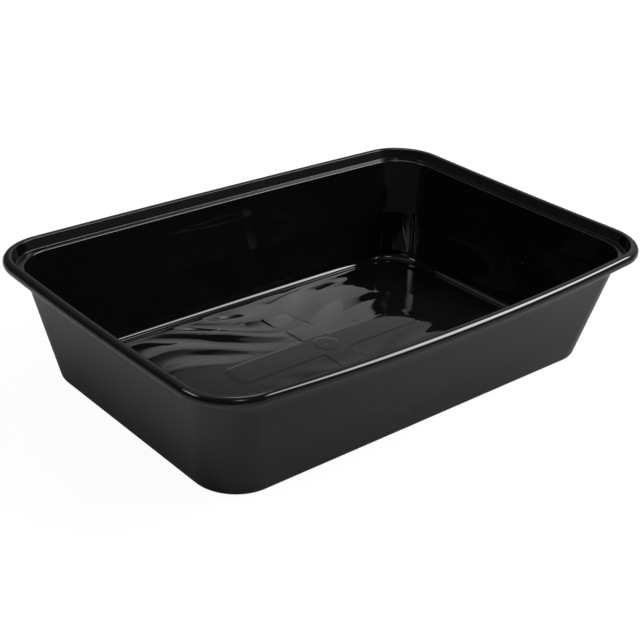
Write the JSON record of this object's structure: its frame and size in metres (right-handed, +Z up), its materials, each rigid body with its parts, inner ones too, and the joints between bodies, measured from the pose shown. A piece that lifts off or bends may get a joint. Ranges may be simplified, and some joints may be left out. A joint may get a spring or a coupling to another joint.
{
  "type": "plastic food tray",
  "caption": "Open rectangular plastic food tray with rounded corners, drafted walls, a lid ledge, a rolled rim and a crowned floor.",
  "frame": {"origin": "middle of the base, on the surface that the tray stands on", "axes": "+X along the long sides, +Y along the short sides, +Z up, out of the open mouth"},
  "size_m": [0.1756, 0.1238, 0.0393],
  "materials": {
    "black_plastic": "black polypropylene, glossy inside, satin outside"
  },
  "bodies": {
    "root": {"tray": "black_plastic"}
  },
  "joints": []
}
